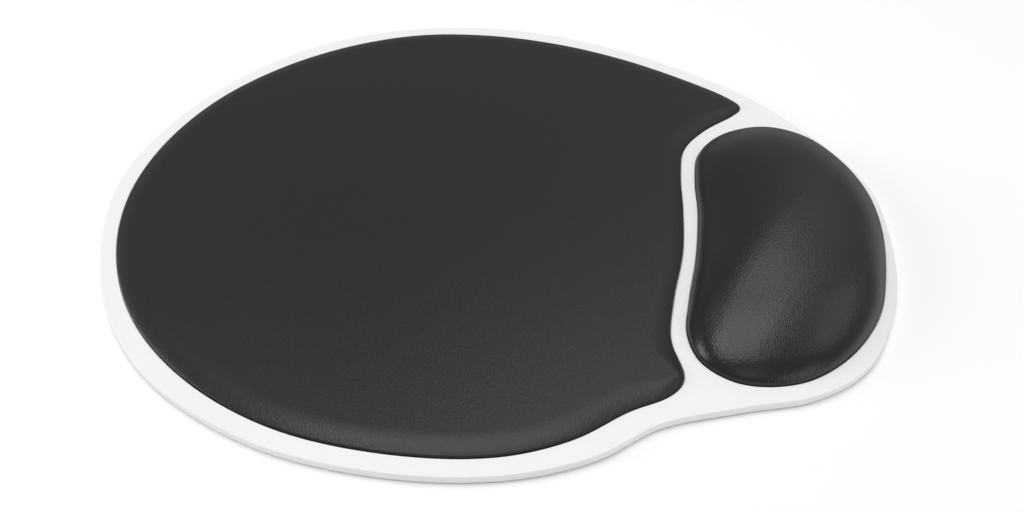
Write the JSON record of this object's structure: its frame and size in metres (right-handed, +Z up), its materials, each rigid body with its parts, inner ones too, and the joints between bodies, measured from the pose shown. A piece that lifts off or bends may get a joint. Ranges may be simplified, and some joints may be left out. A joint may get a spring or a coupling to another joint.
{
  "type": "wrist rest mouse mat",
  "caption": "Mouse mat with a bean-shaped gel wrist rest, both bedded in one thin rimmed tray on rubber feet.",
  "frame": {"origin": "centre of the tray's outline, on the desk surface under the feet", "axes": "+X along the longest extent, from the mat towards the wrist rest; +Y away from the near edge with the waist; +Z up, the shortest extent"},
  "size_m": [0.25, 0.2142, 0.017],
  "materials": {
    "tray_plastic": "satin moulded white",
    "foot_rubber": "matte black",
    "bond_tape": "adhesive film",
    "mat_rubber": "open-cell foam rubber",
    "mat_fabric": "fine black knit",
    "rest_fabric": "fine black stretch knit with a slight sheen",
    "plate_plastic": "moulded black",
    "rest_foam": "soft foam",
    "film_clear": "clear film",
    "gel": "soft glossy gel"
  },
  "bodies": {
    "root": {"base_tray": "tray_plastic", "foot_1": "foot_rubber", "foot_2": "foot_rubber", "foot_3": "foot_rubber", "foot_4": "foot_rubber", "foot_5": "foot_rubber", "foot_6": "foot_rubber", "foot_7": "foot_rubber", "foot_8": "foot_rubber", "foot_tape_1": "bond_tape", "foot_tape_2": "bond_tape", "foot_tape_3": "bond_tape", "foot_tape_4": "bond_tape", "foot_tape_5": "bond_tape", "foot_tape_6": "bond_tape", "foot_tape_7": "bond_tape", "foot_tape_8": "bond_tape", "mat_glue": "bond_tape", "mat_core": "mat_rubber", "mat_cover": "mat_fabric", "rest_glue": "bond_tape", "rest_plate": "plate_plastic", "rest_foam": "rest_foam", "rest_film_base": "film_clear", "rest_gel": "gel", "rest_film_top": "film_clear", "rest_cover": "rest_fabric"}
  },
  "joints": []
}
